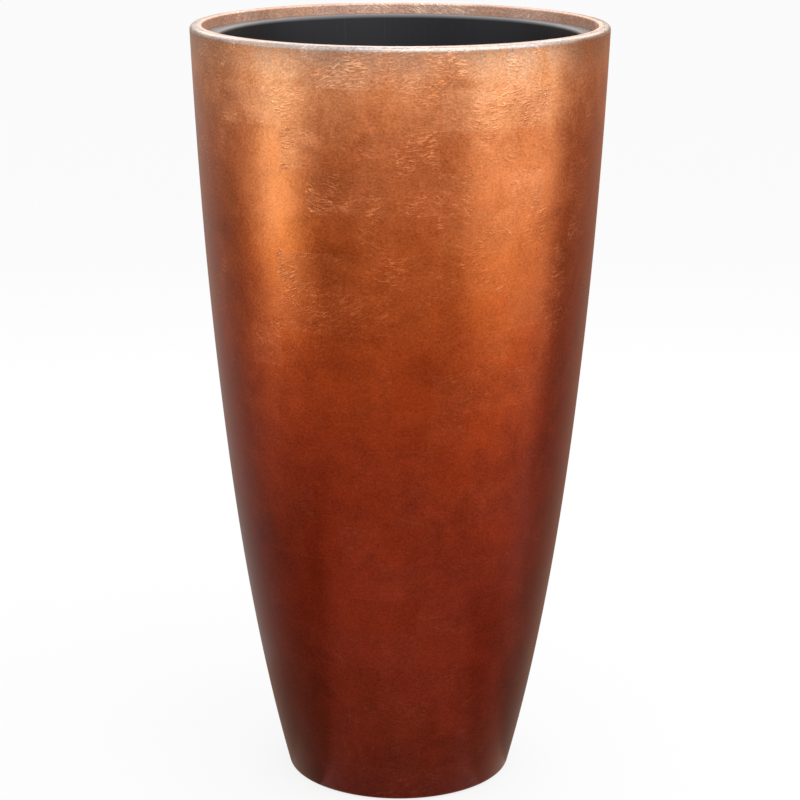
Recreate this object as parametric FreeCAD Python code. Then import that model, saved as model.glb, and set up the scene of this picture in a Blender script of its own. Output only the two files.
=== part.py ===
"""Tall round floor planter: a leafed resin shell on rubber pads, and a liner that lifts out by two bails.

Millimetres, +Z up. The origin is the centre of the circle that the planter stands on, on the floor.
The two lift handles are at -X (left) and +X (right).
"""
import FreeCAD, Part
import math
import os

# Outer form: one curve from the base edge to the rim, given by its ends, how far each end leans out, and how
# far the curve follows each end's own direction.
RIM_DIAMETER = 480.0
HEIGHT = 900.0
BASE_DIAMETER = 267.0
BASE_LEAN_DEG = 14.7
RIM_LEAN_DEG = 2.2
BASE_REACH = 233.0
RIM_REACH = 358.0

# Shell: laminate wall, floor, foot ring and drain hole
SHELL_WALL = 6.0
SHELL_FLOOR = 8.0
SHELL_FLOOR_CORNER = 16.0
BASE_EDGE_ROUND = 4.0
FOOT_RING_WIDTH = 34.0
FOOT_RING_DEPTH = 5.0
DRAIN_DIAMETER = 22.0

# Foot pads, let into pockets in the foot ring
PAD_COUNT = 6
PAD_DIAMETER = 24.0
PAD_THICKNESS = 4.0
PAD_PROUD = 2.0
PAD_EDGE = 0.8
PAD_CLEARANCE = 0.3

# Drain bung, pushed in from inside the shell
BUNG_CLEARANCE = 0.15
BUNG_HEAD_DIAMETER = 36.0
BUNG_HEAD_THICKNESS = 4.0
BUNG_TIP = 2.0
BUNG_GRIP_DIAMETER = 12.0
BUNG_GRIP_HEIGHT = 12.0
BUNG_EDGE = 1.5

# Rim collar, bonded over the shell's trimmed edge, with the ledge that carries the liner
RIM_WIDTH = 14.0
RIM_OUTER_ROUND = 5.0
RIM_INNER_ROUND = 2.0
COLLAR_CAP = 12.0
COLLAR_SKIRT = 29.0
GLUE_GAP = 0.3
LEDGE_NOSE = 6.0
LEDGE_CLEARANCE = 1.0

# Liner: flange, tapered wall and raised floor
LINER_SET_DOWN = 12.0
LINER_SIDE_CLEARANCE = 1.0
LINER_WALL = 3.0
FLANGE_WIDTH = 17.0
MOUTH_ROUND = 5.0
LINER_DEPTH = 345.0
LINER_DRAFT_DEG = 5.5
LINER_FLOOR_CORNER = 20.0
LINER_FOOT_WIDTH = 12.0
LINER_FOOT_DEPTH = 5.0

# Lift handles: wire bails in riveted brackets
WIRE_DIAMETER = 5.0
BAIL_WIDTH = 88.0
BAIL_DROP = 62.0
BAIL_CORNER = 16.0
BAIL_PIN_BEND = 5.0
BAIL_PIN_END = 2.0
BAIL_SIDE_CLEARANCE = 0.7
BAIL_WALL_CLEARANCE = 3.0
PIVOT_CLEARANCE = 0.1
EAR_THICKNESS = 8.0
EAR_WALL = 3.5
BRACKET_HEIGHT = 26.0
BRACKET_PLATE = 3.0
BRACKET_END = 8.0
BRACKET_CORNER = 7.0
BRACKET_BELOW_FLANGE = 14.0
BRACKET_SEAT_GAP = 0.2

# Rivets that hold the brackets to the liner wall
RIVET_DIAMETER = 4.0
RIVET_HOLE_CLEARANCE = 0.1
RIVET_HEAD_DIAMETER = 9.0
RIVET_HEAD_HEIGHT = 2.2
RIVET_SPACING = 46.0
RIVET_SEAT_GAP = 0.1

# Places that follow from the driving dimensions
Z_AXIS = FreeCAD.Vector(0, 0, 1)
rim_radius = RIM_DIAMETER / 2
base_radius = BASE_DIAMETER / 2
rim_inner_radius = rim_radius - RIM_WIDTH
collar_seat_z = HEIGHT - COLLAR_CAP
collar_bottom_z = collar_seat_z - COLLAR_SKIRT

foot_z = PAD_PROUD
foot_recess_z = foot_z + FOOT_RING_DEPTH
shell_floor_z = foot_recess_z + SHELL_FLOOR
foot_outer_radius = base_radius - BASE_EDGE_ROUND
foot_inner_radius = foot_outer_radius - FOOT_RING_WIDTH
pad_circle_radius = (foot_outer_radius + foot_inner_radius) / 2

flange_top_z = HEIGHT - LINER_SET_DOWN
ledge_z = flange_top_z - LINER_WALL
flange_radius = rim_inner_radius - LINER_SIDE_CLEARANCE
mouth_radius = flange_radius - FLANGE_WIDTH
flange_root_round = MOUTH_ROUND - LINER_WALL
ledge_inner_radius = mouth_radius + LINER_WALL + flange_root_round + LEDGE_CLEARANCE
liner_floor_z = flange_top_z - LINER_DEPTH
liner_slope = math.tan(math.radians(LINER_DRAFT_DEG))

bracket_z = flange_top_z - BRACKET_BELOW_FLANGE - BRACKET_HEIGHT / 2
wire_radius = WIRE_DIAMETER / 2
bail_leg_y = BAIL_WIDTH / 2
ear_inner_y = bail_leg_y + BAIL_PIN_BEND + BAIL_SIDE_CLEARANCE
ear_outer_y = ear_inner_y + EAR_THICKNESS
bail_pin_y = ear_outer_y + BAIL_PIN_END
bracket_half_length = ear_outer_y + BRACKET_END


def point(radius, z):
    """A point of a section, which lies in the XZ plane."""
    return FreeCAD.Vector(radius, 0, z)


def line(start, end):
    return Part.LineSegment(start, end).toShape()


def outline(points):
    """The closed straight-sided line through the points."""
    return Part.makePolygon(points + points[:1])


def revolved(edges):
    """The ring or vessel that a closed section makes about the planter's axis."""
    return Part.Face(Part.Wire(edges)).revolve(FreeCAD.Vector(), Z_AXIS, 360)


def ring_edges(solid, radius, z):
    """The circular edges of a solid at one radius and height."""
    found = []
    for edge in solid.Edges:
        circle = edge.Curve
        if not isinstance(circle, Part.Circle):
            continue
        if abs(circle.Radius - radius) < 1e-4 and abs(circle.Center.z - z) < 1e-4:
            found.append(edge)
    return found


def wall_curve(inset):
    """The shell's wall line from base edge to rim, moved in square from the outer face by inset."""
    base_lean = math.radians(BASE_LEAN_DEG)
    rim_lean = math.radians(RIM_LEAN_DEG)
    base_way = point(math.sin(base_lean), math.cos(base_lean))
    rim_way = point(math.sin(rim_lean), math.cos(rim_lean))
    base_end = point(base_radius, foot_z) + point(-math.cos(base_lean), math.sin(base_lean)) * inset
    rim_end = point(rim_radius, HEIGHT) + point(-math.cos(rim_lean), math.sin(rim_lean)) * inset
    curve = Part.BezierCurve()
    curve.setPoles([base_end, base_end + base_way * BASE_REACH, rim_end - rim_way * RIM_REACH, rim_end])
    return curve


def parameter_at(curve, z):
    """Where along the wall curve the height z is reached."""
    low = 0.0
    high = 1.0
    for _ in range(60):
        middle = (low + high) / 2
        if curve.value(middle).z < z:
            low = middle
        else:
            high = middle
    return (low + high) / 2


def wall_stretch(inset, low_z, high_z):
    """The part of the wall line between two heights, from low to high."""
    curve = wall_curve(inset)
    curve.segment(parameter_at(curve, low_z), parameter_at(curve, high_z))
    return curve.toShape()


def pad_centres():
    for number in range(PAD_COUNT):
        angle = 2 * math.pi * (number + 0.5) / PAD_COUNT
        yield FreeCAD.Vector(pad_circle_radius * math.cos(angle), pad_circle_radius * math.sin(angle), 0)


def make_outer_shell():
    """One laminate vessel: curved wall with a trimmed top edge, floor, foot ring, pad pockets, drain hole."""
    drain_radius = DRAIN_DIAMETER / 2
    outer_wall = wall_stretch(0, foot_z, collar_seat_z)
    inner_wall = wall_stretch(SHELL_WALL, shell_floor_z, collar_seat_z)
    outer_low, outer_high = outer_wall.Vertexes[0].Point, outer_wall.Vertexes[1].Point
    inner_low, inner_high = inner_wall.Vertexes[0].Point, inner_wall.Vertexes[1].Point
    shell = revolved([
        line(point(drain_radius, foot_recess_z), point(foot_inner_radius, foot_recess_z)),
        line(point(foot_inner_radius, foot_recess_z), point(foot_inner_radius, foot_z)),
        line(point(foot_inner_radius, foot_z), outer_low),
        outer_wall,
        line(outer_high, inner_high),
        inner_wall,
        line(inner_low, point(drain_radius, shell_floor_z)),
        line(point(drain_radius, shell_floor_z), point(drain_radius, foot_recess_z)),
    ])
    shell = shell.makeFillet(SHELL_FLOOR_CORNER, ring_edges(shell, inner_low.x, shell_floor_z))
    shell = shell.makeFillet(BASE_EDGE_ROUND, ring_edges(shell, outer_low.x, foot_z))
    pocket_radius = PAD_DIAMETER / 2 + PAD_CLEARANCE
    pocket_depth = PAD_THICKNESS - PAD_PROUD
    for centre in pad_centres():
        shell = shell.cut(Part.makeCylinder(pocket_radius, pocket_depth, centre + Z_AXIS * foot_z))
    return shell


def make_rim_collar():
    """A ring that caps the shell's edge, goes on down inside it, and has a corbelled ledge for the liner."""
    outer_face = wall_stretch(0, collar_seat_z, HEIGHT)
    skirt_face = wall_stretch(SHELL_WALL + GLUE_GAP, collar_bottom_z, collar_seat_z)
    seat_outer, top_outer = outer_face.Vertexes[0].Point, outer_face.Vertexes[1].Point
    skirt_low, seat_inner = skirt_face.Vertexes[0].Point, skirt_face.Vertexes[1].Point
    section = [
        point(rim_inner_radius, HEIGHT),
        point(rim_inner_radius, ledge_z),
        point(ledge_inner_radius, ledge_z),
        point(ledge_inner_radius, ledge_z - LEDGE_NOSE),
        point(rim_inner_radius, collar_bottom_z),
        skirt_low,
    ]
    edges = [line(seat_inner, seat_outer), outer_face, line(top_outer, section[0]), skirt_face]
    for start, end in zip(section, section[1:]):
        edges.append(line(start, end))
    collar = revolved(Part.sortEdges(edges)[0])
    collar = collar.makeFillet(RIM_OUTER_ROUND, ring_edges(collar, top_outer.x, HEIGHT))
    return collar.makeFillet(RIM_INNER_ROUND, ring_edges(collar, rim_inner_radius, HEIGHT))


def liner_inner_radius(z):
    """Radius of the liner's inner face at a height on its tapered wall."""
    return mouth_radius - (flange_top_z - z) * liner_slope


def bracket_frame(side):
    """Turns what is drawn at +X to the handle's own side."""
    return FreeCAD.Placement(FreeCAD.Vector(), FreeCAD.Rotation(Z_AXIS, 0 if side > 0 else 180))


def rivet_frames():
    """Places of one bracket's rivets at +X: on the liner's inner face, local Z square to it and inward."""
    draft = math.radians(LINER_DRAFT_DEG)
    radius = liner_inner_radius(bracket_z)
    for way in (-1, 1):
        turn = math.asin(way * RIVET_SPACING / 2 / radius)
        outward = FreeCAD.Vector(math.cos(turn), math.sin(turn), 0)
        inward = Z_AXIS * math.sin(draft) - outward * math.cos(draft)
        place = outward * radius + Z_AXIS * bracket_z
        yield FreeCAD.Placement(place, FreeCAD.Rotation(Z_AXIS, inward))


def rivet_holes():
    """The drills for one bracket's rivets at +X, through the plate and the liner wall."""
    reach = BRACKET_PLATE + LINER_WALL + RIVET_HEAD_DIAMETER
    radius = RIVET_DIAMETER / 2 + RIVET_HOLE_CLEARANCE
    drills = []
    for frame in rivet_frames():
        drill = Part.makeCylinder(radius, 2 * reach, FreeCAD.Vector(0, 0, -reach))
        drill.Placement = frame
        drills.append(drill)
    return drills


def make_liner():
    """A moulded pot: flat flange, plain tapered wall, floor raised inside a foot ring."""
    across = LINER_WALL / math.cos(math.radians(LINER_DRAFT_DEG))
    floor_radius = liner_inner_radius(liner_floor_z)
    under_z = liner_floor_z - LINER_WALL
    under_radius = floor_radius + across - LINER_WALL * liner_slope
    raised_z = liner_floor_z + LINER_FOOT_DEPTH
    raised_radius = floor_radius - LINER_FLOOR_CORNER - LINER_FOOT_WIDTH
    arch_radius = raised_radius - LINER_WALL
    root_radius = liner_inner_radius(ledge_z) + across
    inner_face = [
        point(0, raised_z),
        point(raised_radius - LINER_FOOT_DEPTH, raised_z),
        point(raised_radius, liner_floor_z),
        point(floor_radius, liner_floor_z),
        point(mouth_radius, flange_top_z),
    ]
    outer_face = [
        point(flange_radius, flange_top_z),
        point(flange_radius, ledge_z),
        point(root_radius, ledge_z),
        point(under_radius, under_z),
        point(arch_radius, under_z),
        point(arch_radius - LINER_FOOT_DEPTH, raised_z - LINER_WALL),
        point(0, raised_z - LINER_WALL),
    ]
    liner = revolved(outline(inner_face + outer_face).Edges)
    liner = liner.makeFillet(MOUTH_ROUND, ring_edges(liner, mouth_radius, flange_top_z))
    liner = liner.makeFillet(flange_root_round, ring_edges(liner, root_radius, ledge_z))
    liner = liner.makeFillet(LINER_FLOOR_CORNER, ring_edges(liner, floor_radius, liner_floor_z))
    liner = liner.makeFillet(LINER_FLOOR_CORNER + LINER_WALL, ring_edges(liner, under_radius, under_z))
    for side in (-1, 1):
        for drill in rivet_holes():
            drill.Placement = bracket_frame(side).multiply(drill.Placement)
            liner = liner.cut(drill)
    return liner


def pivot_x():
    """How far out the bail's pivot lies: its legs clear the wall, and its pins clear the back plate."""
    lowest_z = bracket_z - BAIL_DROP - wire_radius
    plate_radius = liner_inner_radius(bracket_z - wire_radius) - BRACKET_SEAT_GAP - BRACKET_PLATE
    beside_legs = math.sqrt(liner_inner_radius(lowest_z) ** 2 - (bail_leg_y + wire_radius) ** 2)
    beside_pins = math.sqrt(plate_radius**2 - bail_pin_y**2)
    return min(beside_legs, beside_pins) - BAIL_WALL_CLEARANCE - wire_radius


def bracket_skin(depth):
    """The ring between the bracket's back face and a face that deep inside it, over the bracket's height."""
    low_z = bracket_z - BRACKET_HEIGHT
    high_z = bracket_z + BRACKET_HEIGHT
    corners = []
    for inset, z in ((0, low_z), (0, high_z), (depth, high_z), (depth, low_z)):
        corners.append(point(liner_inner_radius(z) - BRACKET_SEAT_GAP - inset, z))
    return revolved(outline(corners).Edges)


def make_bracket(side):
    """A moulded saddle: a back plate that follows the wall, and two ears with eyes for the bail's ends."""
    pivot = pivot_x()
    reach = liner_inner_radius(bracket_z)
    blank = Part.makeBox(reach, 2 * bracket_half_length, BRACKET_HEIGHT,
                         FreeCAD.Vector(0, -bracket_half_length, bracket_z - BRACKET_HEIGHT / 2))
    corners = [edge for edge in blank.Edges if abs(edge.tangentAt(edge.FirstParameter).x) > 0.99]
    plate = bracket_skin(BRACKET_PLATE).common(blank.makeFillet(BRACKET_CORNER, corners))
    eye_radius = wire_radius + PIVOT_CLEARANCE
    nose_radius = eye_radius + EAR_WALL
    bracket = plate
    for low_y in (-ear_outer_y, ear_inner_y):
        nose_start = FreeCAD.Vector(pivot, low_y, bracket_z)
        nose = Part.makeCylinder(nose_radius, EAR_THICKNESS, nose_start, FreeCAD.Vector(0, 1, 0))
        root = Part.makeBox(reach - pivot, EAR_THICKNESS, 2 * nose_radius, nose_start - Z_AXIS * nose_radius)
        ear = nose.fuse(root).common(bracket_skin(reach / 2))
        bracket = bracket.fuse(ear)
    eye = Part.makeCylinder(eye_radius, 2 * bracket_half_length,
                            FreeCAD.Vector(pivot, -bracket_half_length, bracket_z), FreeCAD.Vector(0, 1, 0))
    bracket = bracket.cut(eye).removeSplitter()
    for drill in rivet_holes():
        bracket = bracket.cut(drill)
    bracket.Placement = bracket_frame(side).multiply(bracket.Placement)
    return bracket


def make_rivets(side):
    """Rivets through plate and wall: a flat head inside, a shank, and the set head outside the liner."""
    head_radius = RIVET_HEAD_DIAMETER / 2
    shank_radius = RIVET_DIAMETER / 2
    inside_z = BRACKET_SEAT_GAP + BRACKET_PLATE + RIVET_SEAT_GAP
    outside_z = -LINER_WALL - RIVET_SEAT_GAP
    rivets = []
    for frame in rivet_frames():
        shank = Part.makeCylinder(shank_radius, inside_z - outside_z, FreeCAD.Vector(0, 0, outside_z))
        inner_head = Part.makeCone(head_radius, shank_radius, RIVET_HEAD_HEIGHT, Z_AXIS * inside_z)
        outer_head = Part.makeCone(head_radius, shank_radius, RIVET_HEAD_HEIGHT, Z_AXIS * outside_z, -Z_AXIS)
        rivet = shank.multiFuse([inner_head, outer_head]).removeSplitter()
        rivet.Placement = bracket_frame(side).multiply(frame)
        rivets.append(rivet)
    return Part.makeCompound(rivets)


def rounded_path(points, radii):
    """Straight runs through the points, joined at each inner point by a tangent arc of its own radius."""
    edges = []
    start = points[0]
    for before, corner, after, radius in zip(points, points[1:], points[2:], radii):
        back = (before - corner).normalize()
        ahead = (after - corner).normalize()
        half_turn = (math.pi - back.getAngle(ahead)) / 2
        setback = radius * math.tan(half_turn)
        bisector = (back + ahead).normalize()
        middle = corner + bisector * (radius / math.cos(half_turn) - radius)
        arc_start = corner + back * setback
        arc_end = corner + ahead * setback
        edges.append(line(start, arc_start))
        edges.append(Part.Arc(arc_start, middle, arc_end).toShape())
        start = arc_end
    edges.append(line(start, points[-1]))
    return Part.Wire(edges)


def make_bail(side):
    """A bail bent from round wire, hanging down, with its ends turned out into the bracket's eyes."""
    x = pivot_x()
    bar_z = bracket_z - BAIL_DROP
    half = [
        FreeCAD.Vector(x, bail_pin_y, bracket_z),
        FreeCAD.Vector(x, bail_leg_y, bracket_z),
        FreeCAD.Vector(x, bail_leg_y, bar_z),
    ]
    other_half = [FreeCAD.Vector(place.x, -place.y, place.z) for place in reversed(half)]
    path = rounded_path(half + other_half, [BAIL_PIN_BEND, BAIL_CORNER, BAIL_CORNER, BAIL_PIN_BEND])
    section = Part.Wire(Part.makeCircle(wire_radius, half[0], FreeCAD.Vector(0, 1, 0)))
    bail = path.makePipeShell([section], True, False)
    bail.Placement = bracket_frame(side)
    return bail


def make_foot_pad(centre):
    pad = Part.makeCylinder(PAD_DIAMETER / 2, PAD_THICKNESS, centre)
    return pad.makeChamfer(PAD_EDGE, ring_edges(pad, PAD_DIAMETER / 2, 0))


def make_drain_bung():
    """A rubber bung: head on the shell's floor, shank through the drain hole, and a grip to pull it up by."""
    head_radius = BUNG_HEAD_DIAMETER / 2
    shank_radius = DRAIN_DIAMETER / 2 - BUNG_CLEARANCE
    grip_radius = BUNG_GRIP_DIAMETER / 2
    tip_z = foot_recess_z - BUNG_TIP
    head_top_z = shell_floor_z + BUNG_HEAD_THICKNESS
    grip_top_z = head_top_z + BUNG_GRIP_HEIGHT
    bung = revolved(outline([
        point(0, tip_z),
        point(shank_radius - BUNG_TIP, tip_z),
        point(shank_radius, foot_recess_z),
        point(shank_radius, shell_floor_z),
        point(head_radius, shell_floor_z),
        point(head_radius, head_top_z),
        point(grip_radius, head_top_z),
        point(grip_radius, grip_top_z),
        point(0, grip_top_z),
    ]).Edges)
    edges = ring_edges(bung, head_radius, head_top_z) + ring_edges(bung, grip_radius, grip_top_z)
    return bung.makeFillet(BUNG_EDGE, edges + ring_edges(bung, grip_radius, head_top_z))


def make_parts():
    """Every piece by its name."""
    parts = {
        "outer_shell": make_outer_shell(),
        "rim_collar": make_rim_collar(),
        "drain_bung": make_drain_bung(),
        "liner": make_liner(),
    }
    for name, side in (("left", -1), ("right", 1)):
        parts["handle_bracket_" + name] = make_bracket(side)
        parts["bracket_rivets_" + name] = make_rivets(side)
        parts["lift_handle_" + name] = make_bail(side)
    for number, centre in enumerate(pad_centres(), 1):
        parts["foot_pad_%d" % number] = make_foot_pad(centre)
    return parts


os.makedirs("parts", exist_ok=True)
for name, shape in make_parts().items():
    shape.exportStep("parts/%s.step" % name)
    litres = shape.Volume / 1e6
    print("%-24s solids %d valid %s litres %.4f" % (name, len(shape.Solids), shape.isValid(), litres))
print("handle pivots at x +-%.3f, z %.3f" % (pivot_x(), bracket_z))
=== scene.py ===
"""A tall round floor planter, finished in copper leaf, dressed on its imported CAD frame."""
import math

import bmesh
import bpy
import numpy as np
from mathutils import Matrix, Vector, noise


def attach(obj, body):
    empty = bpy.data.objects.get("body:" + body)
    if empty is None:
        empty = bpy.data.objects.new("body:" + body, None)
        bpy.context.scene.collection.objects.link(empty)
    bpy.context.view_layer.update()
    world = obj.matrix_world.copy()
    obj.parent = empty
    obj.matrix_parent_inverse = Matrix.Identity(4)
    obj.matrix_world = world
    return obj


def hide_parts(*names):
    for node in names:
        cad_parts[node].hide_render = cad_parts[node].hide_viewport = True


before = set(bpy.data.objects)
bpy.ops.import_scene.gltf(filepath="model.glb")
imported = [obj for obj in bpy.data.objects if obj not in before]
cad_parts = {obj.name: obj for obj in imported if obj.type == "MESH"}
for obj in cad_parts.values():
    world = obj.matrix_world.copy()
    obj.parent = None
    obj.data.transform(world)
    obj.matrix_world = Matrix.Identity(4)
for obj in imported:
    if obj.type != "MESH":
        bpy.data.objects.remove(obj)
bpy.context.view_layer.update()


# Outer shell: a vessel laid up in resin laminate, with a floor, a foot ring and a drain hole.
# Its outside is one slow curve from foot to rim. It is hand-finished before the leaf goes on,
# so the wall is not quite true.
HEIGHT = 0.900
RIM_RADIUS = 0.240
BASE_RADIUS = 0.1335
BASE_LEAN = math.radians(14.7)
RIM_LEAN = math.radians(2.2)
BASE_REACH = 0.233
RIM_REACH = 0.358
SHELL_WALL = 0.006
FOOT_Z = 0.002
FOOT_RECESS_Z = 0.007
SHELL_FLOOR_Z = 0.015
SHELL_FLOOR_CORNER = 0.016
BASE_EDGE_ROUND = 0.004
FOOT_RING_WIDTH = 0.034
DRAIN_RADIUS = 0.011
COLLAR_SEAT_Z = 0.888
WALL_RINGS = 150
INSIDE_RINGS = 60
ROUND_STEPS = 7
TURNS = 320
WAVE_DEPTH = 0.0005
WAVE_LENGTH = 0.11
SHARP_ANGLE = math.radians(32)


def wall_point(share, inset=0.0):
    """A point (radius, height) of the wall line, at a share of the way from the base edge to the rim."""
    base_way = Vector((math.sin(BASE_LEAN), math.cos(BASE_LEAN)))
    rim_way = Vector((math.sin(RIM_LEAN), math.cos(RIM_LEAN)))
    base_end = Vector((BASE_RADIUS, FOOT_Z)) + Vector((-base_way.y, base_way.x)) * inset
    rim_end = Vector((RIM_RADIUS, HEIGHT)) + Vector((-rim_way.y, rim_way.x)) * inset
    poles = (base_end, base_end + base_way * BASE_REACH, rim_end - rim_way * RIM_REACH, rim_end)
    rest = 1 - share
    weights = (rest**3, 3 * rest**2 * share, 3 * rest * share**2, share**3)
    return sum((pole * weight for pole, weight in zip(poles, weights)), Vector((0, 0)))


def share_at(height, inset=0.0):
    """How far along the wall line a height is reached."""
    low, high = 0.0, 1.0
    while high - low > 1e-7:
        middle = (low + high) / 2
        if wall_point(middle, inset).y < height:
            low = middle
        else:
            high = middle
    return low


def wall_run(low_z, high_z, steps, inset=0.0):
    """Points of the wall line between two heights, from the lower to the higher."""
    first, last = share_at(low_z, inset), share_at(high_z, inset)
    return [wall_point(first + (last - first) * step / steps, inset) for step in range(steps + 1)]


def rounded(before, corner, after, radius):
    """The points of a corner of a section, rounded off to a radius."""
    before, corner, after = Vector(before), Vector(corner), Vector(after)
    back = (before - corner).normalized()
    ahead = (after - corner).normalized()
    half_turn = (math.pi - back.angle(ahead)) / 2
    centre = corner + (back + ahead).normalized() * (radius / math.cos(half_turn))
    start = corner + back * (radius * math.tan(half_turn)) - centre
    end = corner + ahead * (radius * math.tan(half_turn)) - centre
    return [centre + start.slerp(end, step / ROUND_STEPS) * radius for step in range(ROUND_STEPS + 1)]


def turned(name, runs):
    """A closed piece that a section makes about the planter's axis.

    The section is a list of runs, each a material, how far its faces are out of true, and the points
    (radius, height) that start them.
    """
    mesh = bpy.data.meshes.new(name)
    vertices, rings, faces, finishes = [], [], [], []
    for number, (material, wave_depth, points) in enumerate(runs):
        mesh.materials.append(material)
        for radius, height in points:
            ring = [len(vertices) + step for step in range(TURNS if radius > 0 else 1)]
            for step in range(len(ring)):
                angle = 2 * math.pi * step / TURNS
                place = Vector((radius * math.sin(angle), -radius * math.cos(angle), 0))
                wave = 0.5 + 0.5 * noise.noise((place + Vector((0, 0, 0.6 * height))) / WAVE_LENGTH)
                place -= place.normalized() * wave_depth * wave
                vertices.append((place.x, place.y, height))
            rings.append(ring)
            finishes.append(number)
    face_finishes = []
    for near, far, number in zip(rings, rings[1:] + rings[:1], finishes):
        if len(near) == len(far) == 1:
            continue
        for step in range(TURNS):
            following = (step + 1) % TURNS
            corners = (near[step % len(near)], near[following % len(near)],
                       far[following % len(far)], far[step % len(far)])
            faces.append(list(dict.fromkeys(corners)))
            face_finishes.append(number)
    mesh.from_pydata(vertices, [], faces)
    mesh.polygons.foreach_set("material_index", face_finishes)
    mesh.shade_smooth()
    mesh.set_sharp_from_angle(angle=SHARP_ANGLE)
    piece = bpy.data.objects.new(name, mesh)
    bpy.context.scene.collection.objects.link(piece)
    return piece


class Value:
    """A socket of a node tree. Arithmetic on it adds the Math nodes that the expression needs."""

    def __init__(self, nodes, socket):
        self.nodes = nodes
        self.socket = socket

    def math(self, operation, *others):
        return self.nodes.add("Math", {"operation": operation}, dict(enumerate((self, *others))))

    def __add__(self, other):
        return self.math("ADD", other)

    __radd__ = __add__

    def __sub__(self, other):
        return self.math("SUBTRACT", other)

    def __rsub__(self, other):
        return self.nodes.add("Math", {"operation": "SUBTRACT"}, {0: other, 1: self})

    def __mul__(self, other):
        return self.math("MULTIPLY", other)

    __rmul__ = __mul__

    def __truediv__(self, other):
        return self.math("DIVIDE", other)

    def __pow__(self, other):
        return self.math("POWER", other)

    def __mod__(self, other):
        return self.math("FLOORED_MODULO", other)

    def floor(self):
        return self.math("FLOOR")

    def rise(self, low, high):
        """0 below low, 1 above high, and smooth between. With high below low it falls instead."""
        return self.nodes.add("MapRange", {"interpolation_type": "SMOOTHSTEP", "clamp": True},
                              {"Value": self, "From Min": low, "From Max": high})


class Nodes:
    """The node tree of a material or of the world while it is made."""

    def __init__(self, owner):
        owner.use_nodes = True
        self.owner = owner
        self.tree = owner.node_tree
        self.tree.nodes.clear()

    def add(self, kind, settings=None, sockets=None, output=0):
        """Adds a node with its settings, then its sockets' values or links, and gives one output."""
        node = self.tree.nodes.new("ShaderNode" + kind)
        for name, value in (settings or {}).items():
            if name == "stops":
                stops = node.color_ramp.elements
                stops[0].color = (*value[0][1], 1)
                stops[1].color = (*value[-1][1], 1)
                for position, colour in value[1:-1]:
                    stops.new(position).color = (*colour, 1)
            else:
                setattr(node, name, value)
        for name, value in (sockets or {}).items():
            socket = node.inputs[name]
            if isinstance(value, Value):
                self.tree.links.new(value.socket, socket)
            elif socket.type == "RGBA":
                socket.default_value = (*value, 1)
            else:
                socket.default_value = value
        return Value(self, node.outputs[output]) if node.outputs else None

    def parts(self, vector):
        """The three numbers of a vector or colour."""
        split = self.add("SeparateXYZ", {}, {"Vector": vector}).socket.node
        return [Value(self, socket) for socket in split.outputs]

    def joined(self, x, y, z):
        return self.add("CombineXYZ", {}, {0: x, 1: y, 2: z})

    def place(self):
        """Where a point of the piece is, in metres, before any joint moves it."""
        return self.add("TexCoord", {}, {}, "Object")

    def cloud(self, vector, scale, detail=2.0, distortion=0.0):
        """Soft noise from 0 to 1, with this many spots to the metre."""
        return self.add("TexNoise", {}, {"Vector": vector, "Scale": scale, "Detail": detail,
                                         "Distortion": distortion}, "Fac")

    def chance(self, vector):
        """A number from 0 to 1 that is steady for a whole cell."""
        return self.add("TexWhiteNoise", {}, {"Vector": vector}, "Value")

    def mixed(self, share, first, second, blend="MIX"):
        """Two colours mixed. The Mix node's colour sockets go by number, because their names repeat."""
        return self.add("Mix", {"data_type": "RGBA", "blend_type": blend},
                        {0: share, 6: first, 7: second}, 2)

    def relief(self, height, strength=1.0):
        """The normal that a relief gives, from its height in millimetres."""
        return self.add("Bump", {}, {"Height": height, "Strength": strength, "Distance": 0.001})

    def surface(self, **sockets):
        """Ends a material with its shader."""
        named = {name.replace("_", " "): value for name, value in sockets.items()}
        shader = self.add("BsdfPrincipled", {}, named)
        self.add("OutputMaterial", {}, {"Surface": shader})
        return self.owner


def wall_radius_of(z):
    """The wall line's radius at a height, as a polynomial that a node tree can work out."""
    places = [wall_point(step / 40) for step in range(41)]
    factors = np.polyfit([place.y for place in places], [place.x for place in places], 5)
    total = float(factors[0])
    for factor in factors[1:]:
        total = total * z + float(factor)
    return total


# Copper leaf: squares of thin leaf laid edge over edge in rows, toned with glaze that deepens towards the
# foot, and sealed with satin lacquer. The leaf keeps fine brush grain, crinkles and faint laps. A painted
# highlight lightens the crinkles' ridges, and painted shade darkens their hollows. A painted highlight makes
# the rim's top and outer edge pale, and the band inside the rim has no glaze.
LEAF_SIZE = 0.045
LEAF_TONES = [
    (0.00, (0.095, 0.012, 0.006)),
    (0.09, (0.125, 0.015, 0.006)),
    (0.22, (0.175, 0.020, 0.008)),
    (0.34, (0.185, 0.021, 0.008)),
    (0.50, (0.245, 0.029, 0.008)),
    (0.62, (0.295, 0.042, 0.009)),
    (0.75, (0.380, 0.075, 0.017)),
    (0.88, (0.475, 0.124, 0.040)),
    (0.95, (0.630, 0.218, 0.086)),
    (0.98, (0.640, 0.268, 0.130)),
    (1.00, (0.500, 0.242, 0.140)),
]
# Colour of the painted highlight on the rim's top and outer edge.
PAINTED_RIM_HIGHLIGHT = (0.56, 0.46, 0.41)
BARE_COPPER = (0.76, 0.48, 0.36)
# Colour of the painted highlight on the crinkles' ridges.
CREASE_HIGHLIGHT_COLOUR = (0.84, 0.42, 0.21)
FOLD_SWING = 1.0
FOLD_SHADE = 0.028
# Heights over which the rim's painted highlight comes in.
RIM_HIGHLIGHT_LOW_Z = 0.8942
RIM_HIGHLIGHT_HIGH_Z = 0.8962
BAND_START = 0.0080
BAND_FULL = 0.0120


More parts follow.
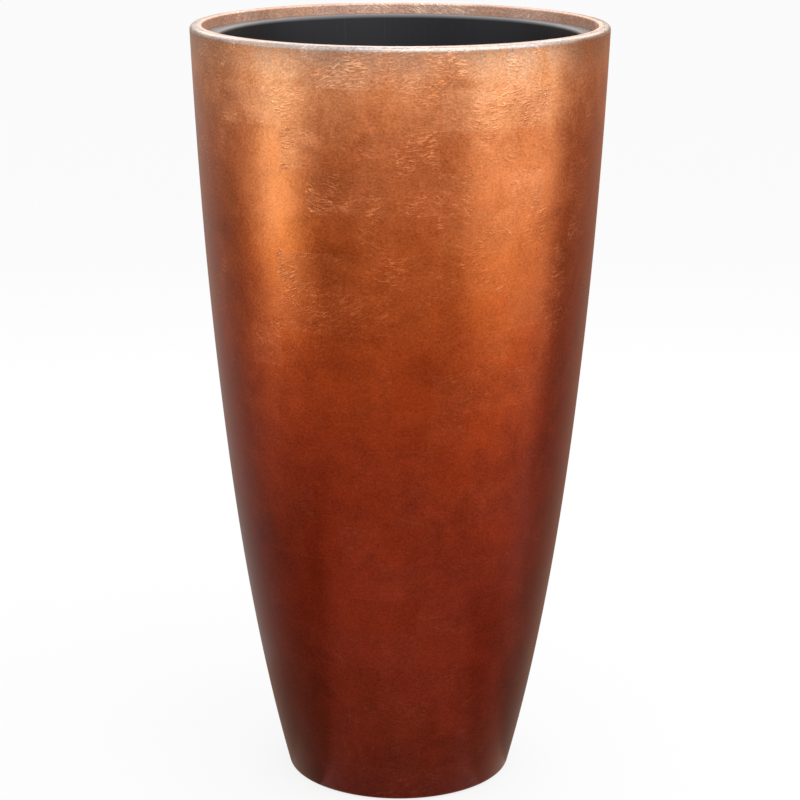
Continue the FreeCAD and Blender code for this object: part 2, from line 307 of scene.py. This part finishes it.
def make_copper_leaf():
    leaf = Nodes(bpy.data.materials.new("copper_leaf"))
    place = leaf.place()
    x, y, z = leaf.parts(place)
    angle = x.math("ARCTAN2", 0 - y)
    radius = (x * x + y * y) ** 0.5
    inward = wall_radius_of(z) - radius

    wander = leaf.cloud(place, 26.0, 1.0) - 0.5
    run = (z + inward) / LEAF_SIZE + 0.18 * wander
    row = run.floor()
    row_radius = wall_radius_of((row + 0.5) * LEAF_SIZE)
    count = (row_radius * (2 * math.pi / LEAF_SIZE)).math("ROUND")
    row_shift = leaf.chance(leaf.joined(row, 3.0, 11.0))
    around = angle / (2 * math.pi) * count + 0.5 * row_shift + 0.22 * wander
    column = around.floor() % count
    tone = leaf.chance(leaf.joined(column, row, 1.0))
    turn = (leaf.chance(leaf.joined(column, row, 5.0)) - 0.5) * FOLD_SWING
    kind = leaf.chance(leaf.joined(column, row, 6.0))
    u = around - around.floor()
    v = run - row
    broken = leaf.cloud(place, 45.0, 2.0)
    lap = v.rise(0.030, 0.0) * broken.rise(0.50, 0.60)
    side_lap = u.rise(0.022, 0.0) * broken.rise(0.55, 0.63)
    seam = lap + 0.6 * side_lap

    along = (u - 0.5) * turn.math("COSINE") + (v - 0.5) * turn.math("SINE")
    across = (v - 0.5) * turn.math("COSINE") - (u - 0.5) * turn.math("SINE")
    own = tone * 37.0
    strokes, shaded = [
        leaf.cloud(leaf.joined(along * 4.5, (across + shift) * 20.0, own), 1.0, 3.0, 1.3).rise(0.50, 0.70)
        for shift in (0.0, FOLD_SHADE)
    ]
    patch = leaf.cloud(place, 26.0, 2.0, 0.6).rise(0.40, 0.62) * kind.rise(0.22, 0.64)
    crinkle = patch * (0.12 + 1.20 * z.rise(0.40, 0.92))
    # The crinkles' ridges take a painted highlight and their hollows painted shade, besides their relief.
    ridge_and_painted_highlight = strokes * crinkle
    hollow_and_painted_shade = shaded * (1 - strokes) * crinkle

    drift = leaf.cloud(place, 7.0, 3.0, 0.4) - 0.5
    mottle = leaf.cloud(place, 34.0, 4.0, 0.6) - 0.5
    speck = leaf.cloud(place, 430.0, 2.0) - 0.5
    brush = leaf.cloud(leaf.joined(along * 9.0, across * 30.0, own), 1.0, 2.0, 0.3) - 0.5
    tint = leaf.add("ValToRGB", {"stops": LEAF_TONES},
                    {"Fac": z / HEIGHT + 0.10 * drift + 0.08 * mottle + 0.01 * (tone - 0.5)}, "Color")
    # Painted highlight: the rim's top and the upper part of its outer round are mixed towards a pale colour.
    edge = z.rise(RIM_HIGHLIGHT_LOW_Z, RIM_HIGHLIGHT_HIGH_Z)
    band = inward.rise(BAND_START, BAND_FULL) * z.rise(0.4, 0.6)
    colour = leaf.mixed(band, leaf.mixed(edge, tint, PAINTED_RIM_HIGHLIGHT), BARE_COPPER)
    grain = 0.95 * speck + (0.42 + 0.40 * z.rise(0.60, 0.88)) * brush
    # The leaf's own tone, grain and laps, with the crinkles' painted highlight and painted shade.
    shade = (1 + 0.40 * drift + 0.48 * mottle + 0.05 * (tone - 0.5) + grain
             + 0.30 * seam + 0.72 * ridge_and_painted_highlight - 0.22 * hollow_and_painted_shade)
    hue = kind - 0.5
    shades = leaf.joined(shade, shade * (1 + 0.10 * hue), shade * (1 + 0.24 * hue))
    colour = leaf.mixed(1.0, colour, shades, "MULTIPLY")
    # Painted highlight: the crinkles' ridges are mixed towards a paler copper.
    colour = leaf.mixed(0.20 * ridge_and_painted_highlight, colour, CREASE_HIGHLIGHT_COLOUR)

    height = 0.06 * brush + 0.10 * speck + 0.20 * (ridge_and_painted_highlight - hollow_and_painted_shade) + 0.05 * seam + 0.05 * mottle
    return leaf.surface(
        Base_Color=colour,
        Metallic=1.0,
        Roughness=0.32 + 0.22 * band + 0.10 * mottle + 0.03 * (tone - 0.5) + 0.10 * speck,
        Normal=leaf.relief(height, 0.55),
    )


# Raw laminate: the inside and underside of the vessel, chopped glass strands under brushed grey resin.
def make_raw_laminate():
    laminate = Nodes(bpy.data.materials.new("raw_laminate"))
    place = laminate.place()
    x, y, z = laminate.parts(place)
    strands = 0
    for number, lean in enumerate((0.3, 1.1, 1.9, 2.7)):
        around = x.math("ARCTAN2", 0 - y) * 0.2
        along = around * math.cos(lean) + z * math.sin(lean)
        across = z * math.cos(lean) - around * math.sin(lean)
        layer = laminate.cloud(laminate.joined(along * 30.0, across * 420.0, number * 7.0), 1.0, 2.0, 0.2)
        strands = strands + layer.rise(0.58, 0.72)
    wet = laminate.cloud(place, 14.0, 3.0)
    colour = laminate.mixed(0.30 * strands, (0.155, 0.150, 0.138), (0.36, 0.35, 0.31))
    colour = laminate.mixed(0.45 * wet, colour, (0.10, 0.098, 0.092))
    return laminate.surface(
        Base_Color=colour,
        Roughness=0.38 + 0.30 * wet,
        Normal=laminate.relief(0.25 * strands + 0.4 * wet, 0.6),
    )


PAD_COUNT = 6
POCKET_RADIUS = 0.0123
POCKET_DEPTH = 0.002
POCKET_SEGMENTS = 48


def cut_pockets(piece, circle_radius):
    """Cuts the pads' round pockets into the foot ring."""
    drills = bmesh.new()
    for number in range(PAD_COUNT):
        angle = 2 * math.pi * (number + 0.5) / PAD_COUNT
        centre = Vector((circle_radius * math.cos(angle), circle_radius * math.sin(angle), FOOT_Z))
        bmesh.ops.create_cone(
            drills, cap_ends=True, segments=POCKET_SEGMENTS, radius1=POCKET_RADIUS, radius2=POCKET_RADIUS,
            depth=2 * POCKET_DEPTH, matrix=Matrix.Translation(centre),
        )
    mesh = bpy.data.meshes.new("pocket_drills")
    drills.to_mesh(mesh)
    drills.free()
    tool = bpy.data.objects.new("pocket_drills", mesh)
    bpy.context.scene.collection.objects.link(tool)
    piece.modifiers.new("pockets", "BOOLEAN").object = tool
    ready = piece.evaluated_get(bpy.context.evaluated_depsgraph_get())
    piece.data = bpy.data.meshes.new_from_object(ready)
    piece.modifiers.clear()
    bpy.data.objects.remove(tool)


copper_leaf = make_copper_leaf()
raw_laminate = make_raw_laminate()

foot_outer = BASE_RADIUS - BASE_EDGE_ROUND
foot_inner = foot_outer - FOOT_RING_WIDTH
outer_wall = wall_run(FOOT_Z, COLLAR_SEAT_Z, WALL_RINGS)
inner_wall = wall_run(SHELL_FLOOR_Z, COLLAR_SEAT_Z, INSIDE_RINGS, SHELL_WALL)
base_edge = rounded((foot_inner, FOOT_Z), (BASE_RADIUS, FOOT_Z), outer_wall[4], BASE_EDGE_ROUND)
floor_corner = rounded(inner_wall[6], inner_wall[0], (DRAIN_RADIUS, SHELL_FLOOR_Z), SHELL_FLOOR_CORNER)
leafed_wall = base_edge + [place for place in outer_wall if place.y > base_edge[-1].y + 0.001]
bare_wall = [place for place in reversed(inner_wall) if place.y > floor_corner[0].y + 0.001]
leafed_shell = turned("leafed_shell", [
    (raw_laminate, 0, [(DRAIN_RADIUS, FOOT_RECESS_Z), (foot_inner, FOOT_RECESS_Z), (foot_inner, FOOT_Z)]),
    (copper_leaf, WAVE_DEPTH, leafed_wall),
    (raw_laminate, 0, bare_wall + floor_corner + [(DRAIN_RADIUS, SHELL_FLOOR_Z)]),
])
cut_pockets(leafed_shell, (foot_outer + foot_inner) / 2)
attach(leafed_shell, "shell")
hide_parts("outer_shell")


# Rim collar: a moulded ring bonded over the shell's trimmed edge. It makes the thick flat rim and the band
# inside it, leafed with the wall in one go, and ends in the ledge that carries the liner.
RIM_WIDTH = 0.014
RIM_OUTER_ROUND = 0.005
RIM_INNER_ROUND = 0.002
COLLAR_BOTTOM_Z = 0.859
GLUE_GAP = 0.0003
LEDGE_Z = 0.885
LEDGE_NOSE = 0.006
LEDGE_INNER_RADIUS = 0.214

rim_inner = RIM_RADIUS - RIM_WIDTH
rim_face = wall_run(COLLAR_SEAT_Z, HEIGHT, 4)
skirt = wall_run(COLLAR_BOTTOM_Z, COLLAR_SEAT_Z, 8, SHELL_WALL + GLUE_GAP)
rim_outer_edge = rounded(rim_face[0], rim_face[-1], (rim_inner, HEIGHT), RIM_OUTER_ROUND)
rim_inner_edge = rounded((RIM_RADIUS, HEIGHT), (rim_inner, HEIGHT), (rim_inner, LEDGE_Z), RIM_INNER_ROUND)
leafed_rim = turned("leafed_rim", [
    (copper_leaf, WAVE_DEPTH, rim_face[:1] + rim_outer_edge + rim_inner_edge + [(rim_inner, LEDGE_Z)]),
    (raw_laminate, 0, [(LEDGE_INNER_RADIUS, LEDGE_Z), (LEDGE_INNER_RADIUS, LEDGE_Z - LEDGE_NOSE),
                       (rim_inner, COLLAR_BOTTOM_Z)] + skirt),
])
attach(leafed_rim, "shell")
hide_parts("rim_collar")


# Liner: a pot moulded in dark plastic, loose on the collar's ledge by its flange. The mould's fine spark
# texture shows on it, with faint rub marks from pots set in and lifted out, and the flange top is painted
# pale grey as a painted sheen.
LINER_WALL = 0.003
FLANGE_TOP_Z = 0.888
FLANGE_RADIUS = 0.225
MOUTH_RADIUS = 0.208
MOUTH_ROUND = 0.005
FLANGE_ROOT_ROUND = 0.002
FLANGE_EDGE_ROUND = 0.0006
LINER_FLOOR_Z = 0.543
LINER_SLOPE = math.tan(math.radians(5.5))
LINER_FLOOR_CORNER = 0.020
LINER_FOOT_WIDTH = 0.012
LINER_FOOT_DEPTH = 0.005
FLOOR_RISE_ROUND = 0.003
# Heights over which the flange top takes its painted sheen.
LIP_SHEEN_LOW_Z = 0.8835
LIP_SHEEN_HIGH_Z = 0.8875


def make_liner_plastic():
    plastic = Nodes(bpy.data.materials.new("liner_plastic"))
    place = plastic.place()
    x, y, z = plastic.parts(place)
    sparks = plastic.cloud(place, 1400.0, 2.0)
    haze = plastic.cloud(place, 11.0, 3.0, 0.4)
    around = x.math("ARCTAN2", 0 - y)
    rubs = plastic.cloud(plastic.joined(around * 130.0, z * 6.0, 2.0), 1.0, 3.0, 0.2).rise(0.60, 0.74)
    colour = plastic.mixed(haze, (0.0095, 0.0103, 0.0135), (0.0145, 0.0153, 0.0195))
    colour = plastic.mixed(0.25 * rubs, colour, (0.050, 0.051, 0.055))
    # Painted sheen: the flange top is mixed towards pale grey.
    painted_lip_sheen = z.rise(LIP_SHEEN_LOW_Z, LIP_SHEEN_HIGH_Z) * (0.7 + 0.5 * haze)
    colour = plastic.mixed(painted_lip_sheen, colour, (0.175, 0.170, 0.172))
    return plastic.surface(
        Base_Color=colour,
        Roughness=0.24 + 0.12 * haze + 0.08 * sparks + 0.06 * rubs,
        Specular_IOR_Level=0.3,
        Normal=plastic.relief(0.05 * sparks + 0.02 * rubs, 0.5),
    )


liner_plastic = make_liner_plastic()
wall_across = LINER_WALL / math.cos(math.atan(LINER_SLOPE))
under_z = LINER_FLOOR_Z - LINER_WALL
raised_z = LINER_FLOOR_Z + LINER_FOOT_DEPTH
mouth = (MOUTH_RADIUS, FLANGE_TOP_Z)
flange_edge = (FLANGE_RADIUS, FLANGE_TOP_Z)
flange_under = (FLANGE_RADIUS, LEDGE_Z)
flange_root = (MOUTH_RADIUS - (FLANGE_TOP_Z - LEDGE_Z) * LINER_SLOPE + wall_across, LEDGE_Z)
floor_edge = (MOUTH_RADIUS - (FLANGE_TOP_Z - LINER_FLOOR_Z) * LINER_SLOPE, LINER_FLOOR_Z)
under_edge = (floor_edge[0] + wall_across - LINER_WALL * LINER_SLOPE, under_z)
rise_foot = (floor_edge[0] - LINER_FLOOR_CORNER - LINER_FOOT_WIDTH, LINER_FLOOR_Z)
rise_top = (rise_foot[0] - LINER_FOOT_DEPTH, raised_z)
arch_foot = (rise_foot[0] - LINER_WALL, under_z)
inside = [
    (0, raised_z),
    *rounded((0, raised_z), rise_top, rise_foot, FLOOR_RISE_ROUND),
    *rounded(rise_top, rise_foot, floor_edge, FLOOR_RISE_ROUND),
    *rounded(rise_foot, floor_edge, mouth, LINER_FLOOR_CORNER),
    *rounded(floor_edge, mouth, flange_edge, MOUTH_ROUND),
]
outside = [
    *rounded(mouth, flange_edge, flange_under, FLANGE_EDGE_ROUND),
    flange_under,
    *rounded(flange_under, flange_root, under_edge, FLANGE_ROOT_ROUND),
    *rounded(flange_root, under_edge, arch_foot, LINER_FLOOR_CORNER + LINER_WALL),
    arch_foot,
    (arch_foot[0] - LINER_FOOT_DEPTH, raised_z - LINER_WALL),
    (0, raised_z - LINER_WALL),
]
liner_pot = turned("liner_pot", [(liner_plastic, 0, inside + outside)])
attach(liner_pot, "liner")
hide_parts("liner")


# Handle brackets: moulded saddles of harder black plastic, riveted to the liner's inner wall. Their faces
# are polished a little in patches, as handling does.
def dress(names, material):
    """Gives CAD nodes that keep their own shape a finish."""
    for name in names:
        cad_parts[name].material_slots[0].material = material


def make_bracket_plastic():
    plastic = Nodes(bpy.data.materials.new("bracket_plastic"))
    place = plastic.place()
    grit = plastic.cloud(place, 1900.0, 2.0)
    worn = plastic.cloud(place, 90.0, 3.0, 0.5).rise(0.50, 0.70)
    return plastic.surface(
        Base_Color=plastic.mixed(worn, (0.016, 0.016, 0.017), (0.036, 0.036, 0.038)),
        Roughness=0.50 - 0.16 * worn + 0.10 * grit,
        Normal=plastic.relief(0.04 * grit, 0.5),
    )


dress(["handle_bracket_left", "handle_bracket_right"], make_bracket_plastic())


# Rivets: blind aluminium rivets through bracket and liner wall, finely scratched and dulled by handling.
# They keep the CAD's shape, as the brackets, bails, pads and bung do.
def make_rivet_metal():
    metal = Nodes(bpy.data.materials.new("rivet_metal"))
    place = metal.place()
    scratches = metal.cloud(place, 2600.0, 3.0, 1.0)
    dull = metal.cloud(place, 240.0, 2.0)
    return metal.surface(
        Base_Color=metal.mixed(dull, (0.66, 0.67, 0.68), (0.80, 0.81, 0.82)),
        Metallic=1.0,
        Roughness=0.26 + 0.24 * dull + 0.08 * scratches,
        Normal=metal.relief(0.03 * scratches, 0.5),
    )


dress(["bracket_rivets_left", "bracket_rivets_right"], make_rivet_metal())


# Lift handles: bails bent from zinc-plated wire. Plating leaves a soft blue-grey bloom, and drawing leaves
# fine lines.
def make_handle_wire():
    wire = Nodes(bpy.data.materials.new("handle_wire"))
    place = wire.place()
    x, y, z = wire.parts(place)
    drawn = wire.cloud(wire.joined(x * 2600.0, y * 900.0, z * 900.0), 1.0, 2.0)
    bloom = wire.cloud(place, 120.0, 4.0, 0.6)
    return wire.surface(
        Base_Color=wire.mixed(bloom, (0.50, 0.52, 0.55), (0.72, 0.73, 0.73)),
        Metallic=1.0,
        Roughness=0.24 + 0.22 * bloom,
        Normal=wire.relief(0.03 * drawn, 0.4),
    )


dress(["lift_handle_left", "lift_handle_right"], make_handle_wire())


# Foot pads and drain bung: black rubber, the pads let into the foot ring and the bung pushed into the drain
# hole. Moulded matt, with a grey bloom of dust.
def make_pad_rubber():
    rubber = Nodes(bpy.data.materials.new("pad_rubber"))
    place = rubber.place()
    pores = rubber.cloud(place, 1500.0, 3.0)
    dust = rubber.cloud(place, 70.0, 4.0, 0.4).rise(0.45, 0.75)
    return rubber.surface(
        Base_Color=rubber.mixed(0.7 * dust, (0.014, 0.014, 0.014), (0.050, 0.048, 0.045)),
        Roughness=0.70 + 0.16 * dust,
        Normal=rubber.relief(0.06 * pores, 0.5),
    )


dress(["drain_bung"] + ["foot_pad_%d" % number for number in range(1, PAD_COUNT + 1)], make_pad_rubber())


# Studio: a pale floor that shows white and keeps the shadow, a softbox on each side of the planter, one
# overhead and one behind. Cloths round the back show only in reflections and keep the planter's edges dark.
# Sheets on the floor, joined to those cloths and on their own, and a card at the front left also show only
# in
# reflections: they are painted shadow, the floor's shadow as the planter's wall and foot reflect it.
FLOOR_SIZE = 40.0
FLOOR_COLOUR = (0.86, 0.86, 0.86)
FLOOR_GLOW = 0.84
ROOM_LIGHT = 0.85
DAYLIGHT = (0.63, 0.98, 1.16)
COOL_DAYLIGHT = (0.54, 1.00, 1.24)
NEUTRAL = (1.0, 1.0, 1.0)
FLAG_RADIUS = 1.45
FLAG_TOP = 1.34
FLAG_STEPS = 16
SOFTBOX_DISTANCE = 1.10
SOFTBOX_Z = 0.44


def seen_share(nodes):
    """1 for what the camera, mirrors or glass see, and 0 for light that is only passed on."""
    rays = nodes.add("LightPath", {}, {}, "Is Camera Ray")
    shown = rays
    for name in ("Is Glossy Ray", "Is Transmission Ray"):
        shown = shown.math("MAXIMUM", Value(nodes, rays.socket.node.outputs[name]))
    return shown


def make_floor():
    material = Nodes(bpy.data.materials.new("floor"))
    lit = material.add("BsdfDiffuse", {}, {"Color": FLOOR_COLOUR})
    white = material.add("Emission", {}, {"Color": (1, 1, 1), "Strength": 1.0})
    both = material.add("MixShader", {}, {0: FLOOR_GLOW * seen_share(material), 1: lit, 2: white})
    material.add("OutputMaterial", {}, {"Surface": both})
    mesh = bpy.data.meshes.new("floor")
    half = FLOOR_SIZE / 2
    corners = [(-half, -half, 0), (half, -half, 0), (half, half, 0), (-half, half, 0)]
    mesh.from_pydata(corners, [], [(0, 1, 2, 3)])
    mesh.materials.append(material.owner)
    floor = bpy.data.objects.new("floor", mesh)
    bpy.context.scene.collection.objects.link(floor)


def make_world():
    world = bpy.data.worlds.new("studio")
    bpy.context.scene.world = world
    nodes = Nodes(world)
    room = nodes.add("Background", {}, {"Color": (1, 1, 1), "Strength": ROOM_LIGHT})
    white = nodes.add("Background", {}, {"Color": (1, 1, 1), "Strength": 1.0})
    both = nodes.add("MixShader", {}, {0: seen_share(nodes), 1: room, 2: white})
    nodes.add("OutputWorld", {}, {"Surface": both})


def round_axis(azimuth, distance, height):
    """A place by its bearing from the front, in degrees to the right, and its distance from the axis."""
    bearing = math.radians(azimuth)
    return Vector((distance * math.sin(bearing), -distance * math.cos(bearing), height))


def make_softbox(name, place, target, width, height, brightness, colour):
    """A rectangular soft light whose face has the given brightness, 1 being white.

    The tinted ones make highlights only, so that matt surfaces keep their colour.
    """
    data = bpy.data.lights.new(name, "AREA")
    data.shape = "RECTANGLE"
    data.size = width
    data.size_y = height
    data.energy = brightness * math.pi * width * height
    data.color = colour
    lamp = bpy.data.objects.new(name, data)
    lamp.location = place
    lamp.rotation_euler = (target - place).to_track_quat("-Z", "Y").to_euler()
    lamp.visible_camera = False
    lamp.visible_diffuse = colour == NEUTRAL
    bpy.context.scene.collection.objects.link(lamp)


def make_flag(name, first, last, section, colour):
    """A cloth or painted shadow sheet of one colour, seen only in reflections: a section turned between two
    bearings.
    """
    material = Nodes(bpy.data.materials.new(name))
    cloth = material.add("Emission", {}, {"Color": colour, "Strength": 1.0})
    material.add("OutputMaterial", {}, {"Surface": cloth})
    places, faces = [], []
    for step in range(FLAG_STEPS + 1):
        azimuth = first + (last - first) * step / FLAG_STEPS
        places += [round_axis(azimuth, radius, height) for radius, height in section]
    for step in range(FLAG_STEPS):
        for corner in range(len(section) * step, len(section) * step + len(section) - 1):
            faces.append((corner, corner + 1, corner + 1 + len(section), corner + len(section)))
    mesh = bpy.data.meshes.new(name)
    mesh.from_pydata(places, [], faces)
    mesh.materials.append(material.owner)
    flag = bpy.data.objects.new(name, mesh)
    flag.visible_camera = False
    flag.visible_diffuse = False
    flag.visible_shadow = False
    bpy.context.scene.collection.objects.link(flag)


make_floor()
make_world()
left_place = round_axis(-66, SOFTBOX_DISTANCE, SOFTBOX_Z)
right_place = round_axis(63, SOFTBOX_DISTANCE, SOFTBOX_Z)
wall_middle = Vector((0, 0, SOFTBOX_Z))
rim_middle = Vector((0, 0, HEIGHT))
make_softbox("softbox_left", left_place, wall_middle, 0.42, 0.36, 3.7, COOL_DAYLIGHT)
make_softbox("softbox_right", right_place, wall_middle, 1.06, 0.56, 1.43, DAYLIGHT)
make_softbox("overhead", Vector((0.8, -0.8, 2.4)), rim_middle, 2.8, 2.8, 1.15, NEUTRAL)
make_softbox("backlight", Vector((0, 1.9, 2.0)), rim_middle, 3.4, 1.6, 1.2, NEUTRAL)
# The back cloths run on across the floor as painted shadow sheets.
cloth_and_shadow_sheet = [(FLAG_RADIUS, FLAG_TOP), (FLAG_RADIUS, 0.001), (0.15, 0.001)]
make_flag("flag_and_shadow_sheet_left", -178, -94, cloth_and_shadow_sheet, (0.50, 0.46, 0.42))
make_flag("flag_and_shadow_sheet_right", 94, 178, cloth_and_shadow_sheet, (0.475, 0.325, 0.24))
# Painted shadow: the card stands in for a shadow on the floor at the front left.
make_flag("painted_shadow_flag_front", -44, -24, [(1.44, 1.9), (1.44, 0.0)], (0.70, 0.70, 0.70))
# Painted shadow: sheets on the floor beside, behind and round the foot, seen only in reflections.
make_flag("painted_shadow_mat_left", -94, -46, [(1.0, 0.001), (0.13, 0.001)], (0.54, 0.44, 0.34))
make_flag("painted_shadow_mat_right", 48, 94, [(0.6, 0.001), (0.13, 0.001)], (0.76, 0.56, 0.42))
make_flag("painted_shadow_mat_foot", 80, 280, [(0.36, 0.002), (0.13, 0.002)], (0.44, 0.33, 0.26))


# Camera: a long lens a little above the rim, as in the photograph.
CAMERA_DISTANCE = 2.786
CAMERA_HEIGHT = 1.1978
CAMERA_TILT = math.radians(14.926)
CAMERA_ROLL = math.radians(0.12)
CAMERA_TURN = math.radians(-0.016)
FOCAL_PIXELS = 2428.8
FRAME_PIXELS = 800
SENSOR = 36.0

lens = bpy.data.cameras.new("camera")
lens.sensor_width = SENSOR
lens.lens = SENSOR * FOCAL_PIXELS / FRAME_PIXELS
camera = bpy.data.objects.new("camera", lens)
camera.matrix_world = (
    Matrix.Translation((0, -CAMERA_DISTANCE, CAMERA_HEIGHT))
    @ Matrix.Rotation(CAMERA_TURN, 4, "Z")
    @ Matrix.Rotation(math.pi / 2 - CAMERA_TILT, 4, "X")
    @ Matrix.Rotation(CAMERA_ROLL, 4, "Z")
)
bpy.context.scene.collection.objects.link(camera)
bpy.context.scene.camera = camera
bpy.context.scene.view_settings.view_transform = "Standard"
